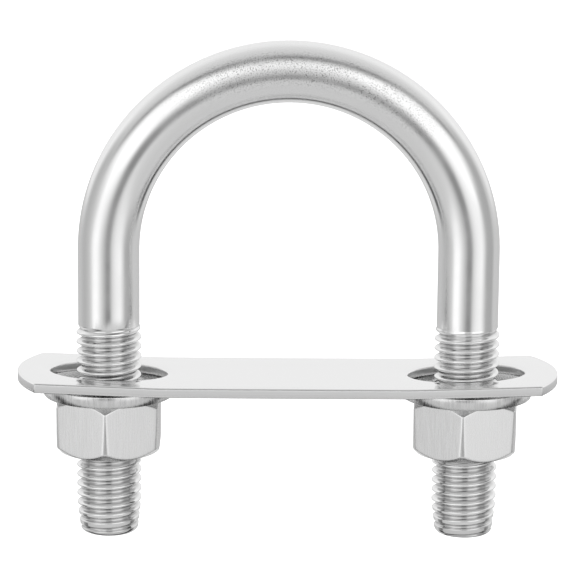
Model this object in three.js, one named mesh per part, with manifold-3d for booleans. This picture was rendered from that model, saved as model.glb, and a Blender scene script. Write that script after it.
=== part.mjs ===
// A U-bolt pipe clamp: one bent rod with two threaded legs, a clamp plate across the legs,
// and a washer and a hexagon nut under the plate on each leg.
//
// Millimetres. The origin is the centre of the plate's top face, where the pipe rests.
// +X runs along the plate from the left leg to the right one, +Z points up to the bow.

import * as THREE from "three";
import { mergeVertices } from "three/addons/utils/BufferGeometryUtils.js";
import Module from "manifold-3d";

// Bent rod
const LEG_SPACING = 55; // between the two leg axes
const ROD_DIAMETER = 9.4;
const BOW_CENTRE_HEIGHT = 19.3; // centre of the half circle above the plate's top face
const LEG_DEPTH = 25.2; // from the plate's top face down to the leg ends

// Thread, metric coarse, right hand
const THREAD_DIAMETER = 10;
const THREAD_PITCH = 1.5;
const THREAD_TURNS = 22; // turns on each leg, counted up from its end
const THREAD_CLEARANCE = 0.15; // between bolt and nut, square to every thread face

// Leg ends: the last threads taper, then a rounded shoulder runs in to a flat tip
const TAPER_TURNS = 3.5;
const TAPER_DEPTH = 0.5; // taken off the radius at the shoulder
const TIP_HEIGHT = 1.3;
const TIP_FLAT_RADIUS = 3;

// Clamp plate
const PLATE_THICKNESS = 1.5;
const PLATE_OVERHANG = 14; // from a leg axis out to the plate's end
const PLATE_RIM = 4.3; // metal beside a hole, out to the straight edge
const PLATE_END_RADIUS = 17.8;
const HOLE_SIDE_CLEARANCE = 0.9; // across the plate, each side of a leg
const HOLE_END_CLEARANCE = 4; // along the plate, each side of a leg
const BEND_INSET = 8; // from a leg axis in to the line where the end turns up
const BEND_ANGLE = THREE.MathUtils.degToRad(2);

// Washers
const WASHER_THICKNESS = 1.75;
const WASHER_BAND = 4.75; // from the bore out to the rim
const WASHER_CLEARANCE = 0.25; // between the bore and the thread
const WASHER_EDGE = 0.2; // chamfer round the rim and the bore

// Nuts
const NUT_HEIGHT = 8.75;
const NUT_WALL = 2.8; // from the thread's crest to a flat
const NUT_CHAMFER_DROP = 1.35; // height that the end chamfer takes off a corner
const NUT_COUNTERSINK = 0.5;
const NUT_TURNS = { left: -1.5, right: -6.5 }; // degrees that a corner is turned from the front

// Stacked faces that touch keep this much air
const SEAT_GAP = 0.05;

// Facets
const COLUMNS = 16; // round the rod and the threads
const BOW_STEPS = 36;
const ROUND_SEGMENTS = 40; // round washers and chamfers
const ARC_SEGMENTS = 18; // along each curve of the plate's outline and holes

// Worked out
const ROD_RADIUS = ROD_DIAMETER / 2;
const THREAD_RADIUS = THREAD_DIAMETER / 2;
const LEG_X = LEG_SPACING / 2;
const LEG_END = -LEG_DEPTH;
const THREAD_TOP = LEG_END + THREAD_TURNS * THREAD_PITCH;
const WASHER_TOP = -PLATE_THICKNESS - SEAT_GAP;
const NUT_TOP = WASHER_TOP - WASHER_THICKNESS - SEAT_GAP;
const NUT_BOTTOM = NUT_TOP - NUT_HEIGHT;
const SIDES = { left: -1, right: 1 };

// The thread's form is the metric one: flanks at 60 degrees, crests an eighth of the pitch wide
// and roots a quarter. These are the four corners of one turn, as shares of the pitch.
const FLANK_ANGLE = Math.PI / 6;
const PROFILE = [
  { at: 0, crest: true },
  { at: 2 / 16, crest: true },
  { at: 7 / 16, crest: false },
  { at: 11 / 16, crest: false },
];
const THREAD_DEPTH = ((5 / 16) * THREAD_PITCH) / Math.tan(FLANK_ANGLE);
const ROOT_RADIUS = THREAD_RADIUS - THREAD_DEPTH;

const wasm = await Module();
wasm.setup();

// Geometry as one merged skin: shared points become one, and triangles with no area are dropped.
function skinOf(geometry) {
  const plain = geometry.index ? geometry.toNonIndexed() : geometry.clone();
  plain.deleteAttribute("normal");
  plain.deleteAttribute("uv");
  const merged = mergeVertices(plain, 1e-4);
  const corners = merged.index.array;
  const kept = [];
  for (let i = 0; i < corners.length; i += 3) {
    const [a, b, c] = corners.slice(i, i + 3);
    if (a !== b && b !== c && c !== a) kept.push(a, b, c);
  }
  merged.setIndex(kept);
  return merged;
}

function solidOf(geometry) {
  const skin = skinOf(geometry);
  const vertProperties = skin.attributes.position.array;
  const triVerts = new Uint32Array(skin.index.array);
  return new wasm.Manifold(new wasm.Mesh({ numProp: 3, vertProperties, triVerts }));
}

function geometryOf(solid) {
  const mesh = solid.getMesh();
  const geometry = new THREE.BufferGeometry();
  geometry.setAttribute("position", new THREE.BufferAttribute(mesh.vertProperties, 3));
  geometry.setIndex(new THREE.BufferAttribute(mesh.triVerts, 1));
  const shaded = geometry.toNonIndexed();
  shaded.computeVertexNormals();
  return shaded;
}

// Triangles of a sheet of quads, rows by COLUMNS, where place(row, column) is a corner's point.
function sheet(rows, place, flipped) {
  const points = [];
  for (let row = 0; row < rows; row += 1) {
    for (let column = 0; column < COLUMNS; column += 1) {
      const a = place(row, column);
      const b = place(row, column + 1);
      const c = place(row + 1, column + 1);
      const d = place(row + 1, column);
      points.push(...(flipped ? [a, c, b, a, d, c] : [a, b, c, a, c, d]));
    }
  }
  return points;
}

// A point beside a leg's own axis. Columns run round from the leg's outer side.
function besideLeg(side, column, radius, z) {
  const angle = (2 * Math.PI * (column % COLUMNS)) / COLUMNS;
  return new THREE.Vector3(side * radius * Math.cos(angle), radius * Math.sin(angle), z);
}

// The helical skin of a right-hand thread between two heights that lie whole turns from the leg's
// end. Every fourth row is the same row one turn on, and rows past a height are gathered there.
// radiusAt(corner, z) is the radius, and widen is the height added to each side of a crest.
function helix(side, low, high, radiusAt, widen = 0) {
  const firstTurn = Math.round((low - LEG_END) / THREAD_PITCH) - 1;
  const turns = Math.round((high - low) / THREAD_PITCH) + 3;
  const place = (row, column) => {
    const corner = PROFILE[row % PROFILE.length];
    const turn = firstTurn + Math.floor(row / PROFILE.length) + corner.at;
    const lead = row % 2 === Number(corner.crest) ? widen : -widen;
    const height = LEG_END + THREAD_PITCH * (turn + (side * column) / COLUMNS) + lead;
    const z = THREE.MathUtils.clamp(height, low, high);
    return besideLeg(side, column, radiusAt(corner, z), z);
  };
  return sheet(turns * PROFILE.length, place, side < 0);
}

// A flat disc that closes a leg-shaped skin, facing down or up.
function disc(side, radius, z, facesUp) {
  const place = (row, column) => {
    const inner = facesUp ? row : 1 - row;
    return besideLeg(side, column, radius * (1 - inner), z);
  };
  return sheet(1, place, side < 0);
}

// The end's outline: a rounded shoulder above the flat tip, then a slow taper out to full size.
function tipRadius(height) {
  const taperHeight = TAPER_TURNS * THREAD_PITCH;
  const shoulder = THREAD_RADIUS - TAPER_DEPTH;
  if (height >= taperHeight) return Infinity;
  if (height >= TIP_HEIGHT) {
    return shoulder + (TAPER_DEPTH * (height - TIP_HEIGHT)) / (taperHeight - TIP_HEIGHT);
  }
  const fall = 1 - height / TIP_HEIGHT;
  return TIP_FLAT_RADIUS + (shoulder - TIP_FLAT_RADIUS) * Math.sqrt(1 - fall * fall);
}

// The bolt's thread fades into the plain rod over its last turn.
function boltRadius(corner, z) {
  const cut = corner.crest ? THREAD_RADIUS : ROOT_RADIUS;
  const share = Math.min(1, (THREAD_TOP - z) / THREAD_PITCH);
  const faded = ROD_RADIUS + (cut - ROD_RADIUS) * share;
  return Math.min(faded, tipRadius(z - LEG_END));
}

// One rod: left leg, half circle, right leg. Ring 0 and the last ring are the tops of the threads.
function uBolt() {
  const bowPlace = (row, column) => {
    const step = THREE.MathUtils.clamp(row - 1, 0, BOW_STEPS);
    const turn = Math.PI * (1 - step / BOW_STEPS);
    const straight = row === 0 || row === BOW_STEPS + 2;
    const centre = new THREE.Vector3(
      LEG_X * Math.cos(turn),
      0,
      straight ? THREAD_TOP : BOW_CENTRE_HEIGHT + LEG_X * Math.sin(turn),
    );
    const angle = (2 * Math.PI * (column % COLUMNS)) / COLUMNS;
    const out = ROD_RADIUS * Math.cos(angle);
    const offset = new THREE.Vector3(
      out * Math.cos(turn),
      ROD_RADIUS * Math.sin(angle),
      out * Math.sin(turn),
    );
    return centre.add(offset);
  };
  const points = sheet(BOW_STEPS + 2, bowPlace, true);
  for (const side of Object.values(SIDES)) {
    const leg = [
      ...helix(side, LEG_END, THREAD_TOP, boltRadius),
      ...disc(side, TIP_FLAT_RADIUS, LEG_END, false),
    ];
    const shift = new THREE.Vector3(side * LEG_X, 0, 0);
    points.push(...leg.map((point) => point.clone().add(shift)));
  }
  return geometryOf(solidOf(new THREE.BufferGeometry().setFromPoints(points)));
}

// A ring or a plug turned about the leg's axis from a closed profile of radius and height.
function turned(profile) {
  const points = profile.map(([radius, z]) => new THREE.Vector2(radius, z));
  return new THREE.LatheGeometry(points, ROUND_SEGMENTS).rotateX(Math.PI / 2);
}

function extruded(shape, from, to) {
  const settings = { depth: to - from, bevelEnabled: false, curveSegments: ARC_SEGMENTS };
  return new THREE.ExtrudeGeometry(shape, settings).translate(0, 0, from);
}

// Flat in the middle, with both ends turned up by the bend angle, and an oval hole for each leg.
function clampPlate() {
  const halfLength = LEG_X + PLATE_OVERHANG;
  const holeHalfWidth = Math.max(ROD_RADIUS, THREAD_RADIUS) + HOLE_SIDE_CLEARANCE;
  const holeHalfLength = THREAD_RADIUS + HOLE_END_CLEARANCE;
  const halfWidth = holeHalfWidth + PLATE_RIM;
  const margin = 2;

  const bendX = LEG_X - BEND_INSET;
  const endX = halfLength + margin;
  const rise = (endX - bendX) * Math.tan(BEND_ANGLE);
  const sideView = new THREE.Shape();
  sideView.moveTo(-endX, rise - PLATE_THICKNESS);
  sideView.lineTo(-bendX, -PLATE_THICKNESS);
  sideView.lineTo(bendX, -PLATE_THICKNESS);
  sideView.lineTo(endX, rise - PLATE_THICKNESS);
  sideView.lineTo(endX, rise);
  sideView.lineTo(bendX, 0);
  sideView.lineTo(-bendX, 0);
  sideView.lineTo(-endX, rise);
  const reach = halfWidth + margin;
  const strip = extruded(sideView, -reach, reach).rotateX(Math.PI / 2);

  const endAngle = Math.asin(halfWidth / PLATE_END_RADIUS);
  const arcX = halfLength - PLATE_END_RADIUS;
  const topView = new THREE.Shape();
  topView.absarc(arcX, 0, PLATE_END_RADIUS, -endAngle, endAngle, false);
  topView.absarc(-arcX, 0, PLATE_END_RADIUS, Math.PI - endAngle, Math.PI + endAngle, false);
  for (const side of Object.values(SIDES)) {
    const hole = new THREE.Path();
    hole.absellipse(side * LEG_X, 0, holeHalfLength, holeHalfWidth, 0, 2 * Math.PI, false, 0);
    topView.holes.push(hole);
  }
  const blank = extruded(topView, -PLATE_THICKNESS - margin, rise + margin);
  return geometryOf(solidOf(strip).intersect(solidOf(blank)));
}

function washer() {
  const bore = THREAD_RADIUS + WASHER_CLEARANCE;
  const rim = bore + WASHER_BAND;
  const bottom = WASHER_TOP - WASHER_THICKNESS;
  const profile = [
    [bore + WASHER_EDGE, bottom],
    [rim - WASHER_EDGE, bottom],
    [rim, bottom + WASHER_EDGE],
    [rim, WASHER_TOP - WASHER_EDGE],
    [rim - WASHER_EDGE, WASHER_TOP],
    [bore + WASHER_EDGE, WASHER_TOP],
    [bore, WASHER_TOP - WASHER_EDGE],
    [bore, bottom + WASHER_EDGE],
    [bore + WASHER_EDGE, bottom],
  ];
  return geometryOf(solidOf(turned(profile)));
}

// A double cone that breaks the corners of a hexagon at both ends of the nut.
function nutChamfers(cornerRadius) {
  const faceRadius = cornerRadius - NUT_CHAMFER_DROP;
  const profile = [
    [0, NUT_BOTTOM],
    [faceRadius, NUT_BOTTOM],
    [cornerRadius, NUT_BOTTOM + NUT_CHAMFER_DROP],
    [cornerRadius, NUT_TOP - NUT_CHAMFER_DROP],
    [faceRadius, NUT_TOP],
    [0, NUT_TOP],
    [0, NUT_BOTTOM],
  ];
  return solidOf(turned(profile));
}

// A cone that opens the mouth of the nut's bore; direction is 1 at the top face, -1 at the bottom.
function countersink(faceZ, direction) {
  const mouth = THREAD_RADIUS + THREAD_CLEARANCE + NUT_COUNTERSINK;
  const outer = faceZ + direction * mouth;
  const profile = [
    [0, faceZ - direction * mouth],
    [2 * mouth, outer],
    [0, outer],
    [0, faceZ - direction * mouth],
  ];
  return solidOf(turned(direction > 0 ? profile : profile.reverse()));
}

// The bolt's own thread made larger by the clearance on every face, and closed past both ends of
// the nut. Its facets lie outside the round thread, so the nut turns freely at any angle.
function nutThread(side) {
  const turnsUp = (z) => (z - LEG_END) / THREAD_PITCH;
  const low = LEG_END + THREAD_PITCH * (Math.floor(turnsUp(NUT_BOTTOM)) - 1);
  const high = LEG_END + THREAD_PITCH * (Math.ceil(turnsUp(NUT_TOP)) + 1);
  const outside = 1 / Math.cos(Math.PI / COLUMNS);
  const radiusAt = (corner, z) => {
    if (z === low || z === high) return ROOT_RADIUS;
    return outside * ((corner.crest ? THREAD_RADIUS : ROOT_RADIUS) + THREAD_CLEARANCE);
  };
  const widen = THREAD_CLEARANCE * Math.tan(FLANK_ANGLE);
  const points = [
    ...helix(side, low, high, radiusAt, widen),
    ...disc(side, ROOT_RADIUS, low, false),
    ...disc(side, ROOT_RADIUS, high, true),
  ];
  return solidOf(new THREE.BufferGeometry().setFromPoints(points));
}

// A hexagon prism with chamfered corners, a threaded bore and a countersink at both mouths.
function nut(side, turnedBy) {
  const cornerRadius = (THREAD_RADIUS + NUT_WALL) / Math.cos(Math.PI / 6);
  const prism = new THREE.CylinderGeometry(cornerRadius, cornerRadius, NUT_HEIGHT, 6)
    .rotateX(Math.PI / 2)
    .rotateZ(THREE.MathUtils.degToRad(turnedBy))
    .translate(0, 0, (NUT_TOP + NUT_BOTTOM) / 2);
  const body = solidOf(prism)
    .intersect(nutChamfers(cornerRadius))
    .subtract(nutThread(side))
    .subtract(countersink(NUT_TOP, 1))
    .subtract(countersink(NUT_BOTTOM, -1));
  return geometryOf(body);
}

const polished = { color: 0xd6d7d8, metalness: 1, roughness: 0.24 };
const satin = { color: 0xc4c5c6, metalness: 1, roughness: 0.42 };
const group = new THREE.Group();

function addPiece(name, geometry, finish, x = 0) {
  const mesh = new THREE.Mesh(geometry, new THREE.MeshStandardMaterial(finish));
  mesh.name = name;
  mesh.position.x = x;
  group.add(mesh);
}

addPiece("u_bolt", uBolt(), polished);
addPiece("clamp_plate", clampPlate(), satin);
for (const [name, side] of Object.entries(SIDES)) {
  addPiece(`washer_${name}`, washer(), satin, side * LEG_X);
  addPiece(`nut_${name}`, nut(side, NUT_TURNS[name]), polished, side * LEG_X);
}

export default group;
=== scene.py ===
"""A stainless steel U-bolt pipe clamp: the bent rod, the plate, two washers and two nuts as fine
surfaces, with their steel finishes, a plain floor, soft studio light and the camera.

Metres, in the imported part's own frame: +X along the plate, +Z up, plate's top face at z = 0.
"""

import math

import bpy
import numpy as np
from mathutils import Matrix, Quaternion, Vector


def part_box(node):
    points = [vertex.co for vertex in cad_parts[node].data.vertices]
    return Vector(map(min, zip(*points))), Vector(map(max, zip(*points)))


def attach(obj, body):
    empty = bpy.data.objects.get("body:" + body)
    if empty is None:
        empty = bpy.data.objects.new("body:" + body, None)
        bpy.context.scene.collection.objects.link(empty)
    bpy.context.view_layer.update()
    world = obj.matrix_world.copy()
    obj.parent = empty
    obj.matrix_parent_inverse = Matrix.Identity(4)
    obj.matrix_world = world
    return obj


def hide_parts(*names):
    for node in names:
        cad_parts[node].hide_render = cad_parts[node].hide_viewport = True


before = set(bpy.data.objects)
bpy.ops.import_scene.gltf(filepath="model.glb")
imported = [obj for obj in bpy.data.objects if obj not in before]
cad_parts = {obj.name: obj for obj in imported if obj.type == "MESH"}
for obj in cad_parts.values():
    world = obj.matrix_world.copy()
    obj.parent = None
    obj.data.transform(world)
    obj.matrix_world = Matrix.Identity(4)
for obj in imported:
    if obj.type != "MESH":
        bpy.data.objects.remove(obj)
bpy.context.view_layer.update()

MM = 0.001

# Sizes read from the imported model
ROD_LOW, ROD_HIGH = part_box("u_bolt")
PLATE_LOW, PLATE_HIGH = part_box("clamp_plate")
WASHER_LOW, WASHER_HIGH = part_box("washer_left")
NUT_LOW, NUT_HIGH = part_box("nut_left")
THREAD_RADIUS = ROD_HIGH.y
LEG_X = ROD_HIGH.x - THREAD_RADIUS
LEG_END = ROD_LOW.z

# The rod and its thread
ROD_RADIUS = 4.7 * MM
PITCH = 1.5 * MM
THREAD_TURNS = 22
THREAD_TOP = LEG_END + THREAD_TURNS * PITCH
THREAD_DEPTH = 0.81 * MM
CREST_SHARE = 0.09  # half the crest's width, in pitches
ROOT_SHARE = 0.375  # where the root starts, in pitches from the crest's middle
CREST_OFFSET = 1 / 16  # the crest's middle, in turns above the leg's end
BOW_CENTRE_Z = ROD_HIGH.z - LEG_X - ROD_RADIUS

# Leg ends
TAPER_TURNS = 3.5
TAPER_DEPTH = 0.5 * MM
TIP_HEIGHT = 1.0 * MM
TIP_FLAT_RADIUS = 3.4 * MM

# The plate
PLATE_THICKNESS = 1.5 * MM
PLATE_END_RADIUS = 17.8 * MM
HOLE_HALF_LENGTH = 9 * MM
HOLE_HALF_WIDTH = 5.9 * MM
BEND_X = 19.5 * MM
BEND_SLOPE = math.tan(math.radians(2))
BEND_SOFTNESS = 1.5 * MM
ROLLED_EDGE = 0.35 * MM  # radius that the press leaves round the top edges
CUT_EDGE = 0.08 * MM  # radius round the lower edges
PUNCH_SINK = 0.1 * MM  # how far the punch drew the top down at a hole's edge
PUNCH_REACH = 0.9 * MM

# Washers and nuts
WASHER_BORE = 5.25 * MM
WASHER_TOP_EDGE = 0.14 * MM  # radius of the rounded upper corners
WASHER_LOW_EDGE = 0.08 * MM
NUT_FLAT_RADIUS = 7.8 * MM
NUT_CHAMFER_DROP = 1.35 * MM
NUT_WEAR = 0.06 * MM  # taken off a corner at the top
NUT_LOW_WEAR = 0.2 * MM  # taken off as well at the bottom
NUT_EDGE = 0.05 * MM  # softness of the worn corners
NUT_CONE_EDGE = 0.07 * MM  # softness of the chamfer's curves
NUT_TURNS = {"left": -1.5, "right": -6.5}  # degrees that a corner is turned from the front
THREAD_CLEARANCE = 0.15 * MM
COUNTERSINK = 0.5 * MM

SIDES = {"left": -1, "right": 1}
ROUND_COLUMNS = 90
WASHER_COLUMNS = 120
ROWS_PER_TURN = 16
WELD_STEP = 1e-8
WELD_SHIFT = 0.31


# ---- Meshes -----------------------------------------------------------------------------------


def weld(sheets):
    """Points and triangles of several grids of points as one skin.

    Each cell of a grid becomes two triangles. Points that round to the same hundredth of a micron
    become one, and triangles that lost a corner that way are dropped. The rounding is shifted by
    part of a step, so that points at exact half steps all round the same way.
    """
    points, corners, count = [], [], 0
    for sheet in sheets:
        rows, columns = sheet.shape[:2]
        index = count + np.arange(rows * columns).reshape(rows, columns)
        a, b, c, d = index[:-1, :-1], index[:-1, 1:], index[1:, 1:], index[1:, :-1]
        corners.append(np.stack([a, b, c, a, c, d], -1).reshape(-1, 3))
        points.append(sheet.reshape(-1, 3))
        count += rows * columns
    points, corners = np.concatenate(points), np.concatenate(corners)
    keys = np.round(points / WELD_STEP + WELD_SHIFT).astype(np.int64)
    _, first, merged = np.unique(keys, axis=0, return_index=True, return_inverse=True)
    corners = merged.reshape(-1)[corners]
    a, b, c = corners.T
    return points[first], corners[(a != b) & (b != c) & (c != a)]


def make_piece(name, sheets, material):
    """A smooth-shaded mesh object of one material, from grids of points."""
    points, corners = weld(sheets)
    mesh = bpy.data.meshes.new(name)
    mesh.vertices.add(len(points))
    mesh.vertices.foreach_set("co", points.astype(np.float32).ravel())
    mesh.loops.add(corners.size)
    mesh.loops.foreach_set("vertex_index", corners.astype(np.int32).ravel())
    mesh.polygons.add(len(corners))
    mesh.polygons.foreach_set("loop_start", np.arange(0, corners.size, 3, dtype=np.int32))
    mesh.materials.append(material)
    mesh.update(calc_edges=True)
    mesh.validate()
    mesh.shade_smooth()
    piece = bpy.data.objects.new(name, mesh)
    bpy.context.scene.collection.objects.link(piece)
    return piece


def turned_sheet(profile, angles, centre_x=0.0):
    """A profile of (radius, height) rows carried round a vertical axis through centre_x."""
    radius, height = np.asarray(profile, float).T
    x = centre_x + radius[:, None] * np.cos(angles)
    y = radius[:, None] * np.sin(angles)
    z = np.broadcast_to(height[:, None], x.shape)
    return np.stack([x, y, z], -1)


def full_turn(columns):
    """Angles of equal steps from 0 to a full turn, both ends kept."""
    return np.linspace(0, 2 * np.pi, columns + 1)


def rounded_corner(inner, outer, steps=5):
    """A quarter ellipse between two points, leaving inner along its radius and reaching outer
    along its height: (x, z) = inner + (dx sin a, dz (1 - cos a))."""
    a = np.linspace(0, np.pi / 2, steps + 1)
    dx, dz = outer[0] - inner[0], outer[1] - inner[1]
    return [(inner[0] + dx * s, inner[1] + dz * (1 - c)) for s, c in zip(np.sin(a), np.cos(a))]


# ---- Thread -----------------------------------------------------------------------------------


def soft_ramp(t, softness=0.16):
    """From 0 below t = 0 to 1 above t = 1, with both corners rounded: half of one plus the
    difference of two hyperbolas."""
    return 0.5 * (1 + np.hypot(t, softness) - np.hypot(t - 1, softness))


def thread_radius(turn, extra=0.0):
    """Radius of the rounded metric thread at a number of turns above the leg's end."""
    away = np.abs((turn - CREST_OFFSET + 0.5) % 1 - 0.5)
    fall = soft_ramp((away - CREST_SHARE) / (ROOT_SHARE - CREST_SHARE))
    return THREAD_RADIUS + extra - THREAD_DEPTH * fall


def helix_sheet(side, low, high, radius_at, angles):
    """Skin of a right-hand thread round a leg's own axis between two heights.

    A row keeps its place in the thread's profile and climbs one pitch in a full turn, so the
    point at an angle has height LEG_END + PITCH (turn + side angle / 2 pi), and a row meets the
    row one turn on at the seam. Heights past either end are gathered there.
    """
    first = math.floor((low - LEG_END) / PITCH) - 1
    turns = math.ceil((high - low) / PITCH) + 4
    turn = first + np.arange(turns * ROWS_PER_TURN + 1)[:, None] / ROWS_PER_TURN
    z = np.clip(LEG_END + PITCH * (turn + side * angles[None] / (2 * np.pi)), low, high)
    radius = radius_at(np.broadcast_to(turn, z.shape), z)
    points = np.stack([side * radius * np.cos(angles), radius * np.sin(angles), z], -1)
    return points if side > 0 else points[:, ::-1]


def tip_radius(height):
    """Outline of a leg's end: a quarter ellipse above the flat tip, then a slow straight taper."""
    shoulder = THREAD_RADIUS - TAPER_DEPTH
    rise = 1 - np.clip(height / TIP_HEIGHT, 0, 1)
    cap = TIP_FLAT_RADIUS + (shoulder - TIP_FLAT_RADIUS) * np.sqrt(1 - rise**2)
    taper = np.clip((height - TIP_HEIGHT) / (TAPER_TURNS * PITCH - TIP_HEIGHT), 0, 1)
    return np.where(height < TIP_HEIGHT, cap, shoulder + TAPER_DEPTH * taper)


def bolt_radius(turn, z):
    """The thread, fading into the plain rod over its last turn and cut by the end's outline."""
    share = np.clip((THREAD_TOP - z) / PITCH, 0, 1)
    thread = ROD_RADIUS + (thread_radius(turn) - ROD_RADIUS) * share
    return np.minimum(thread, tip_radius(z - LEG_END))


# ---- Rod --------------------------------------------------------------------------------------


def bow_sheet(angles):
    """The plain rod: a circle carried up from the left thread, round a half circle, and down to
    the right thread. Its point is centre + ROD_RADIUS (cos a outward + sin a Y)."""
    straight = np.linspace(THREAD_TOP, BOW_CENTRE_Z, 7)[:-1]
    bend = np.linspace(np.pi, 0, 121)
    turn = np.concatenate([np.full(len(straight), np.pi), bend, np.zeros(len(straight))])
    rise = np.concatenate([straight, np.full(len(bend), BOW_CENTRE_Z), straight[::-1]])
    turn, rise = turn[:, None], rise[:, None]
    reach = LEG_X + ROD_RADIUS * np.cos(angles)
    sides = ROD_RADIUS * np.sin(angles) + 0 * turn
    lift = np.where((turn > 0) & (turn < np.pi), np.sin(turn), 0)
    points = np.stack([reach * np.cos(turn), sides, rise + reach * lift], -1)
    return points[:, ::-1]


def rod_sheets():
    """The plain rod, and for each leg its threaded skin and the flat disc that closes its end."""
    angles = full_turn(ROUND_COLUMNS)
    sheets = [bow_sheet(angles)]
    for side in SIDES.values():
        tip = [(share * TIP_FLAT_RADIUS, LEG_END) for share in (0, 0.5, 0.85, 1)]
        cap = turned_sheet(tip, angles)
        cap[..., 0] *= side
        cap = cap if side > 0 else cap[:, ::-1]
        leg = helix_sheet(side, LEG_END, THREAD_TOP, bolt_radius, angles)
        for sheet in (cap, leg):
            sheet[..., 0] += side * LEG_X
            sheets.append(sheet)
    return sheets


# ---- Plate ------------------------------------------------------------------------------------


def half_outline(inset):
    """Right half of the plate's outline from above, set in by inset, as columns of (x, y).

    It runs down the middle line x = 0, along the front edge, round the end's arc and back along
    the rear edge. Also gives how many columns belong to the middle line.
    """
    width = PLATE_HIGH.y - inset
    end_radius = PLATE_END_RADIUS - inset
    arc_x = PLATE_HIGH.x - PLATE_END_RADIUS
    corner_x = arc_x + math.sqrt(end_radius**2 - width**2)
    middle = np.linspace(width, -width, 31)
    spread = (1 - np.cos(np.linspace(0, np.pi, 71))) / 2
    along = corner_x * (0.35 * np.linspace(0, 1, 71) + 0.65 * spread)
    swing = math.asin(width / end_radius)
    arc = np.linspace(-swing, swing, 61)
    end_x, end_y = arc_x + end_radius * np.cos(arc), end_radius * np.sin(arc)
    edge = np.full(len(along) - 1, width)
    x = np.concatenate([0 * middle, along[1:], end_x[1:], along[-2::-1]])
    y = np.concatenate([middle, -edge, end_y[1:], edge])
    return np.stack([x, y], -1), len(middle)


def soft_bend(x):
    """Height above a flat sheet that is bent up at BEND_X: half the slope times the distance past
    the bend plus its hyperbola, which rounds the corner."""
    past = np.abs(x) - BEND_X
    return BEND_SLOPE * (past + np.hypot(past, BEND_SOFTNESS)) / 2


def plate_lift(x):
    """Height that the turned-up ends gain over the plate's middle."""
    return soft_bend(x) - soft_bend(0)


def plate_sheets():
    """Both halves of the plate. Each has a top and a bottom made of rings that grow from the
    hole's ellipse to the outline, a wall round the hole and a wall round the outer edge. The top
    sinks towards the hole by a falling exponential, as a punch leaves it."""
    edge, middle_count = half_outline(ROLLED_EDGE)
    scaled = np.arctan2(edge[:, 1] / HOLE_HALF_WIDTH, (edge[:, 0] - LEG_X) / HOLE_HALF_LENGTH)

    def hole(grow):
        """The hole's ellipse, grown by a width, with one point for each column of the outline."""
        x = LEG_X + (HOLE_HALF_LENGTH + grow) * np.cos(scaled)
        return np.stack([x, (HOLE_HALF_WIDTH + grow) * np.sin(scaled)], -1)

    def level(outline, z):
        """An outline laid at one height."""
        return np.concatenate([outline, np.full((len(outline), 1), z)], -1)

    ring_share = np.linspace(0, 1, 29)[:, None, None] ** 1.5
    top_flat = hole(ROLLED_EDGE) + (edge - hole(ROLLED_EDGE)) * ring_share
    low_edge, _ = half_outline(CUT_EDGE)
    low_flat = hole(CUT_EDGE) + (low_edge - hole(CUT_EDGE)) * ring_share
    top = np.concatenate([top_flat, np.zeros_like(top_flat[..., :1])], -1)
    from_hole = np.linalg.norm(top_flat - top_flat[:1], axis=-1)
    to_edge = np.linalg.norm(top_flat - top_flat[-1:], axis=-1)
    sink = PUNCH_SINK * np.exp(-from_hole / PUNCH_REACH)
    top[..., 2] -= sink * np.minimum(to_edge / PUNCH_REACH, 1)
    bottom = np.stack([level(ring, -PLATE_THICKNESS) for ring in low_flat])

    profile = rounded_corner((ROLLED_EDGE, 0), (0, -ROLLED_EDGE))
    profile += rounded_corner((0, -PLATE_THICKNESS + CUT_EDGE), (CUT_EDGE, -PLATE_THICKNESS), 2)
    drawn = [(grow, z - PUNCH_SINK if z > -PLATE_THICKNESS / 2 else z) for grow, z in profile]
    hole_wall = np.stack([level(hole(grow), z) for grow, z in drawn])
    outer_wall = np.stack([level(half_outline(inset)[0], z) for inset, z in profile])
    outer_wall = outer_wall[:, middle_count - 1 :]

    sheets = []
    for sheet in (top[::-1], bottom, hole_wall, outer_wall[::-1]):
        sheet[..., 2] += plate_lift(sheet[..., 0])
        sheets += [sheet, sheet[:, ::-1] * (-1, 1, 1)]
    return sheets


# ---- Washers and nuts -------------------------------------------------------------------------


def washer_sheets(side):
    """A flat ring turned from a closed profile with small rounded corners."""
    low, high, rim = WASHER_LOW.z, WASHER_HIGH.z, WASHER_HIGH.y
    soft, crisp = WASHER_TOP_EDGE, WASHER_LOW_EDGE
    profile = rounded_corner((rim - soft, high), (rim, high - soft))
    profile += rounded_corner((rim, low + crisp), (rim - crisp, low), 3)
    profile += [(WASHER_BORE + 2 * crisp, low)]
    profile += rounded_corner((WASHER_BORE + crisp, low), (WASHER_BORE, low + crisp), 3)
    profile += rounded_corner((WASHER_BORE, high - soft), (WASHER_BORE + soft, high), 3)
    profile += [(WASHER_BORE + 2 * soft, high), (rim - 2 * soft, high), profile[0]]
    return [turned_sheet(profile[::-1], full_turn(WASHER_COLUMNS), side * LEG_X)]


def soft_min(a, b, softness):
    """The lesser of two lengths, with the corner where they cross rounded by a hyperbola."""
    return (a + b - np.hypot(a - b, softness)) / 2


def nut_angles(corner):
    """Column angles round a hexagon, closer together towards its corners: each half flat's share
    is one minus the 1.7th power of what is left of it."""
    share = np.linspace(-1, 1, 49)
    half_flat = np.sign(share) * (1 - (1 - np.abs(share)) ** 1.7)
    sector = (np.pi / 6) * half_flat + np.pi / 6
    sextant = np.concatenate([sector[:-1] + corner + k * np.pi / 3 for k in range(6)])
    return np.append(sextant, sextant[0] + 2 * np.pi)


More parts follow.
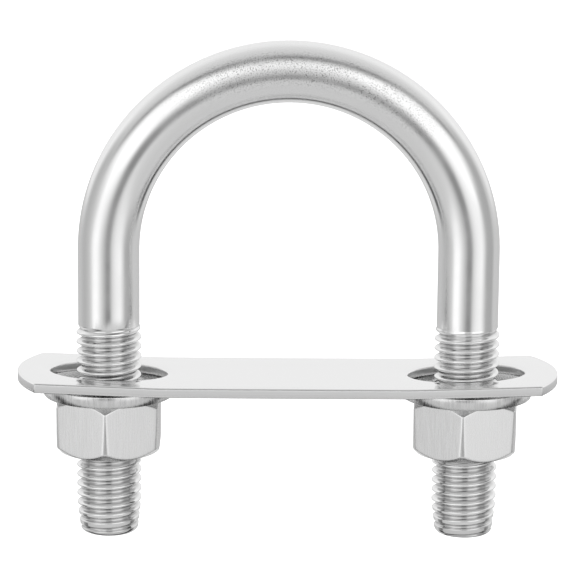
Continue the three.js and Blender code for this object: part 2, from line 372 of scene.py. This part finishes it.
def nut_shell(angles, corner):
    """Outside of a nut round its own axis: each point's radius is the least of the hexagon, the
    worn corner's cylinder, which is tighter towards the bottom, and the cone of the nearer end."""
    bottom, top = NUT_LOW.z, NUT_HIGH.z
    climb = 1.5 * NUT_CHAMFER_DROP * np.linspace(0, 1, 40) ** 1.15
    waist = np.linspace(bottom, top, 12)[4:-4]
    heights = np.concatenate([bottom + climb, waist, (top - climb)[::-1]])
    to_end = np.minimum(heights - bottom, top - heights)[:, None]
    rise = ((heights - bottom) / (top - bottom))[:, None]

    corner_radius = NUT_FLAT_RADIUS / math.cos(math.pi / 6)
    from_flat = (angles - corner) % (np.pi / 3) - np.pi / 6
    flat = NUT_FLAT_RADIUS / np.cos(from_flat)[None]
    worn = corner_radius - (NUT_WEAR + NUT_LOW_WEAR * (1 - rise) ** 1.5)
    cone = corner_radius - NUT_CHAMFER_DROP + to_end
    outside = soft_min(soft_min(flat, worn, NUT_EDGE), cone, NUT_CONE_EDGE)
    x, y = outside * np.cos(angles), outside * np.sin(angles)
    return np.stack([x, y, np.broadcast_to(heights[:, None], x.shape)], -1)


def nut_sheets(name):
    """A hexagon nut: its outside, a flat ring at each end and a bore that is the leg's thread with
    its clearance, opened by a countersink whose radius falls as fast as the depth grows."""
    side = SIDES[name]
    corner = math.radians(NUT_TURNS[name]) - math.pi / 2
    angles = nut_angles(corner)
    bottom, top = NUT_LOW.z, NUT_HIGH.z
    shell = nut_shell(angles, corner)
    mouth = THREAD_RADIUS + THREAD_CLEARANCE + COUNTERSINK

    def face(z, ring):
        """Rings from the bore's mouth to the shell's end, in straight lines."""
        shares = np.array([0, 0.3, 0.7, 0.95, 1])[:, None, None]
        inner = turned_sheet([(mouth, z)], angles)[0]
        return inner + (ring - inner) * shares

    def bore_radius(turn, z):
        """The greater of the thread's radius and the nearer countersink's."""
        near = np.minimum(z - bottom, top - z)
        return np.maximum(thread_radius(turn, THREAD_CLEARANCE), mouth - near)

    own = angles if side > 0 else np.pi - angles[::-1]
    bore = helix_sheet(side, bottom, top, bore_radius, own)
    sheets = [shell, face(bottom, shell[0]), face(top, shell[-1])[::-1], bore[:, ::-1]]
    for sheet in sheets:
        sheet[..., 0] += side * LEG_X
    return sheets


# ---- Finishes ---------------------------------------------------------------------------------

SCUFF_OFFSET = 4 * MM  # how far right of the bow's middle the scuffed patch is centred
# Strength of the painted shade that darkens the thread's roots in the base colour
ROOT_SHADE_DEPTH = 0.52


def grey(level):
    return (level, level, level, 1)


class Nodes:
    """Short ways to add nodes to one node tree and link them."""

    def __init__(self, tree):
        self.tree = tree

    def add(self, kind, settings=None, **inputs):
        node = self.tree.nodes.new(kind)
        for name, value in (settings or {}).items():
            setattr(node, name, value)
        for name, value in inputs.items():
            self.feed(node.inputs[name.replace("_", " ")], value)
        return node

    def feed(self, socket, value):
        """Link another node's output to a socket, or set a plain value on it."""
        if isinstance(value, bpy.types.NodeSocket):
            self.tree.links.new(value, socket)
        else:
            socket.default_value = value

    def maths(self, operation, *values):
        node = self.add("ShaderNodeMath", {"operation": operation})
        for socket, value in zip(node.inputs, values):
            self.feed(socket, value)
        return node.outputs[0]

    def product(self, first, *others):
        """All the values multiplied together."""
        for other in others:
            first = self.maths("MULTIPLY", first, other)
        return first

    def distance(self, a, b):
        """Length of a vector with two components: the root of the sum of their squares."""
        squares = (self.maths("MULTIPLY", value, value) for value in (a, b))
        return self.maths("SQRT", self.maths("ADD", *squares))

    def between(self, value, low, high, at_low=0.0, at_high=1.0):
        """A smooth step of a value from low to high, giving at_low to at_high."""
        node = self.add("ShaderNodeMapRange", {"interpolation_type": "SMOOTHSTEP"}, Value=value)
        limits = {"From Min": low, "From Max": high, "To Min": at_low, "To Max": at_high}
        for name, number in limits.items():
            node.inputs[name].default_value = number
        return node.outputs[0]

    def mix(self, share, first, last):
        """A colour that goes from first to last as the share goes from 0 to 1."""
        node = self.add("ShaderNodeMix", {"data_type": "RGBA"})
        for number, value in ((0, share), (6, first), (7, last)):
            self.feed(node.inputs[number], value)
        return node.outputs[2]


class Finish(Nodes):
    """A steel finish being put together. Its plain colour and roughness are what a viewer shows
    that can't follow the nodes."""

    def __init__(self, name, level, roughness):
        self.material = bpy.data.materials.new(name)
        self.material.use_nodes = True
        super().__init__(self.material.node_tree)
        self.shader = self.tree.nodes["Principled BSDF"]
        self.shader.inputs["Base Color"].default_value = grey(level)
        self.shader.inputs["Metallic"].default_value = 1
        self.shader.inputs["Roughness"].default_value = roughness
        place = self.add("ShaderNodeTexCoord")
        self.place, self.normal = place.outputs["Object"], place.outputs["Normal"]
        self.x, self.y, self.z = self.add("ShaderNodeSeparateXYZ", Vector=self.place).outputs

    def noise(self, per_mm, detail=2.0, roughness=0.5):
        """Noise with so many grains to the millimetre along x, y and z."""
        scaled = self.add("ShaderNodeMapping", Vector=self.place)
        scaled.inputs["Scale"].default_value = [count / MM for count in per_mm]
        node = self.add("ShaderNodeTexNoise", Vector=scaled.outputs[0], Scale=1.0, Detail=detail)
        node.inputs["Roughness"].default_value = roughness
        return node.outputs["Fac"]

    def dull(self, roughness):
        self.feed(self.shader.inputs["Roughness"], roughness)

    def tint(self, share, first, last):
        """Base colour, from one grey level to another as the share grows."""
        self.feed(self.shader.inputs["Base Color"], self.mix(share, grey(first), grey(last)))

    def relief(self, height, depth, below=None):
        """A bump of so many metres, laid on the bump below it."""
        bump = self.add("ShaderNodeBump", Height=height, Strength=1, Distance=depth)
        if below is not None:
            self.feed(bump.inputs["Normal"], below)
        self.feed(self.shader.inputs["Normal"], bump.outputs[0])
        return bump.outputs[0]


def rod_steel():
    """Satin drawn rod: cloudy gloss, a scuffed and pitted crown, glossier rolled thread whose
    roots are darkened with painted shade."""
    steel = Finish("rod_steel", 0.80, 0.2)
    threaded = steel.between(steel.z, THREAD_TOP + 0.3 * MM, THREAD_TOP - 0.6 * MM)

    rise = steel.maths("SUBTRACT", steel.z, BOW_CENTRE_Z)
    outward = steel.maths("SUBTRACT", steel.distance(steel.x, rise), LEG_X)
    swing = steel.maths("ARCTAN2", steel.maths("SUBTRACT", steel.x, SCUFF_OFFSET), rise)
    inner_end = steel.between(outward, -2.2 * MM, -0.2 * MM)
    outer_end = steel.between(outward, 3.9 * MM, 2.6 * MM)
    crown = steel.between(steel.maths("ABSOLUTE", swing), math.radians(55), math.radians(15))
    patch = steel.between(steel.noise((0.35, 0.35, 0.35), 2), 0.35, 0.6, 0.7, 1)
    scuff = steel.product(crown, steel.product(inner_end, outer_end), patch)
    pits = steel.between(steel.noise((5, 5, 5), 3, 0.7), 0.52, 0.62)
    pitted = steel.product(scuff, pits)

    cloudy = steel.between(steel.noise((0.16, 0.16, 0.16), 3), 0.3, 0.75, 0.17, 0.25)
    rough = steel.maths("MULTIPLY_ADD", scuff, 0.06, cloudy)
    steel.dull(steel.maths("MULTIPLY_ADD", threaded, -0.11, rough))

    from_axis = steel.maths("SUBTRACT", steel.maths("ABSOLUTE", steel.x), LEG_X)
    off_axis = steel.distance(from_axis, steel.y)
    root = steel.between(off_axis, THREAD_RADIUS - 0.2 * MM, THREAD_RADIUS - THREAD_DEPTH)
    # Painted shade darkens the thread's roots in the base colour; the crown's pits are real wear.
    painted_root_shade = steel.product(root, threaded, ROOT_SHADE_DEPTH)
    steel.tint(steel.maths("MAXIMUM", painted_root_shade, pitted), 0.86, 0.36)
    fine = steel.relief(steel.noise((4, 4, 4), 2), 0.0012 * MM)
    steel.relief(pitted, -0.003 * MM, fine)
    return steel.material


def plate_steel():
    """Bright rolled strip with faint lines along its length, and a sheared edge with upright
    streaks."""
    steel = Finish("plate_steel", 0.84, 0.14)
    upwards = steel.add("ShaderNodeSeparateXYZ", Vector=steel.normal).outputs[2]
    upright = steel.between(steel.maths("ABSOLUTE", upwards), 0.6, 0.3)
    rolled = steel.noise((0.05, 6, 1), 2)
    streaks = steel.noise((2.2, 2.2, 0.12), 3)
    rough = steel.between(rolled, 0.3, 0.7, 0.09, 0.14)
    steel.dull(steel.maths("MULTIPLY_ADD", upright, 0.34, rough))
    steel.tint(upright, 0.86, 0.84)
    below = steel.relief(steel.product(upright, streaks), 0.03 * MM)
    steel.relief(rolled, 0.0006 * MM, below)
    return steel.material


def washer_steel():
    """Stamped ring: satin faces, upright streaks round the rim."""
    steel = Finish("washer_steel", 0.80, 0.24)
    streaks = steel.noise((2.6, 2.6, 0.1), 3)
    steel.dull(steel.between(streaks, 0.3, 0.7, 0.2, 0.34))
    steel.tint(steel.between(streaks, 0.35, 0.65), 0.72, 0.86)
    steel.relief(streaks, 0.03 * MM)
    return steel.material


def nut_steel():
    """Drawn hexagon bar with fine upright brushing."""
    steel = Finish("nut_steel", 0.80, 0.26)
    brushed = steel.noise((7, 7, 0.25), 3, 0.6)
    steel.dull(steel.between(brushed, 0.3, 0.7, 0.2, 0.3))
    steel.tint(steel.between(brushed, 0.3, 0.7), 0.76, 0.84)
    steel.relief(brushed, 0.002 * MM)
    return steel.material


# ---- Studio -----------------------------------------------------------------------------------

# Brightness round the horizon: degrees from the front towards the right, level
AROUND = (
    (-180, 0.55), (-130, 0.62), (-100, 0.50), (-80, 0.58), (-66, 0.76), (-58, 1.20), (-42, 1.25),
    (-30, 0.88), (-18, 0.58), (-6, 0.26), (6, 0.26), (14, 0.76), (28, 1.00), (46, 1.12), (57, 0.78),
    (67, 0.46), (95, 0.44), (105, 0.66), (130, 0.64), (180, 0.55),
)
# Brightness along the front, from level in front, up over the top and down to level behind, and
# the same way below
OVERHEAD = (
    (-180, 0.80), (-117, 0.74), (-100, 0.70), (-72, 0.66), (-50, 0.66), (-22, 0.72), (-8, 0.62),
    (5, 0.60), (14, 0.66), (23, 0.98), (40, 1.04), (50, 0.66), (58, 0.32), (61, 0.14), (65, 0.16),
    (71, 0.64), (95, 0.74), (106, 0.78), (120, 0.90), (140, 1.02), (180, 0.94),
)


PANEL_LEVEL = 1.25  # two soft panels, left and right of the front
SEAM_LEVEL = 0.05  # a dark gap below and behind the clamp
SEAM_Y = 0.27
BEHIND_LEVEL = 0.94
FLOOR_REACH = 8
FLOOR_HEIGHT = -0.4
LENS_LENGTH = 187.9
CAMERA_AIM = Vector((-0.09, 0, 13.4)) * MM
CAMERA_FROM_AIM = Vector((-6.7, -449.4, 98.0)) * MM
CAMERA_ROLL = math.radians(0.55)


def studio_ramp(nodes, stops, angle):
    """Brightness at an angle in radians, from (degrees, level) pairs over -180 to 180 degrees."""
    ramp = nodes.add("ShaderNodeValToRGB")
    elements = ramp.color_ramp.elements
    while len(elements) < len(stops):
        elements.new(0.5)
    for element, (degrees, level) in zip(elements, stops):
        element.position = (degrees + 180) / 360
        element.color = grey(level)
    nodes.feed(ramp.inputs[0], nodes.maths("MULTIPLY_ADD", angle, 1 / (2 * math.pi), 0.5))
    return ramp.outputs[0]


def make_studio():
    """A white room with soft panels. Near the horizon its brightness is a function of azimuth, and
    above and below it of the tilt from front to back. The camera sees it as plain white."""
    world = bpy.data.worlds.new("studio")
    world.use_nodes = True
    bpy.context.scene.world = world
    nodes = Nodes(world.node_tree)
    nodes.tree.nodes.clear()

    direction = nodes.add("ShaderNodeTexCoord").outputs["Generated"]
    x, y, z = nodes.add("ShaderNodeSeparateXYZ", Vector=direction).outputs
    forward = nodes.maths("MULTIPLY", y, -1)
    azimuth = nodes.maths("ARCTAN2", x, forward)
    elevation = nodes.maths("ARCSINE", z)
    around = studio_ramp(nodes, AROUND, azimuth)
    overhead = studio_ramp(nodes, OVERHEAD, nodes.maths("ARCTAN2", z, forward))
    away = nodes.maths("ABSOLUTE", nodes.maths("ADD", elevation, math.radians(12)))
    beside = nodes.between(nodes.maths("ABSOLUTE", x), 0.97, 0.8)
    off_horizon = nodes.between(away, math.radians(4), math.radians(15))
    level = nodes.mix(nodes.product(off_horizon, beside), around, overhead)

    aside = nodes.maths("ABSOLUTE", azimuth)
    panel = nodes.product(
        nodes.between(aside, math.radians(8), math.radians(18)),
        nodes.between(aside, math.radians(62), math.radians(50)),
        nodes.between(elevation, math.radians(-8), math.radians(4)),
        nodes.between(elevation, math.radians(46), math.radians(34)),
    )
    level = nodes.mix(panel, level, grey(PANEL_LEVEL))
    from_seam = nodes.maths("ABSOLUTE", nodes.maths("SUBTRACT", y, SEAM_Y))
    seam = nodes.product(nodes.between(from_seam, 0.25, 0.15), nodes.between(z, -0.3, -0.5))
    level = nodes.mix(seam, level, grey(SEAM_LEVEL))
    behind = nodes.product(nodes.between(y, 0.5, 0.85), nodes.between(z, -0.08, 0.12))
    level = nodes.mix(behind, level, grey(BEHIND_LEVEL))

    to_camera = nodes.add("ShaderNodeLightPath").outputs["Is Camera Ray"]
    background = nodes.add("ShaderNodeBackground", Color=nodes.mix(to_camera, level, grey(1)))
    nodes.add("ShaderNodeOutputWorld", Surface=background.outputs[0])


def make_floor():
    """A wide pale floor, well below the clamp so that no shadow falls in sight."""
    across = np.linspace(-FLOOR_REACH, FLOOR_REACH, 9)
    x, y = np.meshgrid(across, across)
    points, corners = weld([np.stack([x, y, np.full_like(x, FLOOR_HEIGHT)], -1)])
    mesh = bpy.data.meshes.new("studio_floor")
    mesh.from_pydata(points.tolist(), [], corners.tolist())
    paint = bpy.data.materials.new("floor_paint")
    paint.use_nodes = True
    shader = paint.node_tree.nodes["Principled BSDF"]
    shader.inputs["Base Color"].default_value = grey(0.95)
    shader.inputs["Roughness"].default_value = 0.9
    shader.inputs["Emission Color"].default_value = grey(1)
    shader.inputs["Emission Strength"].default_value = 0.6
    mesh.materials.append(paint)
    floor = bpy.data.objects.new("studio_floor", mesh)
    bpy.context.scene.collection.objects.link(floor)
    floor.visible_glossy = False


def make_camera():
    """A long lens from the front, looking a little down, and rolled by half a degree."""
    lens = bpy.data.cameras.new("camera")
    lens.lens = LENS_LENGTH
    lens.sensor_width = 36
    lens.clip_start = 0.02
    lens.clip_end = 50
    camera = bpy.data.objects.new("camera", lens)
    bpy.context.scene.collection.objects.link(camera)
    camera.location = CAMERA_AIM + CAMERA_FROM_AIM
    turn = (CAMERA_AIM - camera.location).to_track_quat("-Z", "Y")
    camera.rotation_mode = "QUATERNION"
    camera.rotation_quaternion = turn @ Quaternion((0, 0, 1), CAMERA_ROLL)
    bpy.context.scene.camera = camera


# ---- The clamp --------------------------------------------------------------------------------


def main():
    """Makes the six pieces, sets each on its body in place of that body's plain node, and adds the
    floor, the camera and the light."""
    rod, plate = rod_steel(), plate_steel()
    washer, nut = washer_steel(), nut_steel()
    made = [
        (make_piece("threaded_rod", rod_sheets(), rod), "u_bolt", "rod_steel"),
        (make_piece("slotted_plate", plate_sheets(), plate), "clamp_plate", "plate_steel"),
    ]
    for name, side in SIDES.items():
        ring = make_piece(f"flat_washer_{name}", washer_sheets(side), washer)
        hexagon = make_piece(f"hexagon_nut_{name}", nut_sheets(name), nut)
        made += [(ring, f"washer_{name}", "washer_steel"), (hexagon, f"nut_{name}", "nut_steel")]
    for piece, body, finish in made:
        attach(piece, body)
        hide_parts(body)
    make_floor()
    make_camera()
    make_studio()
    bpy.context.scene.view_settings.view_transform = "Standard"


main()
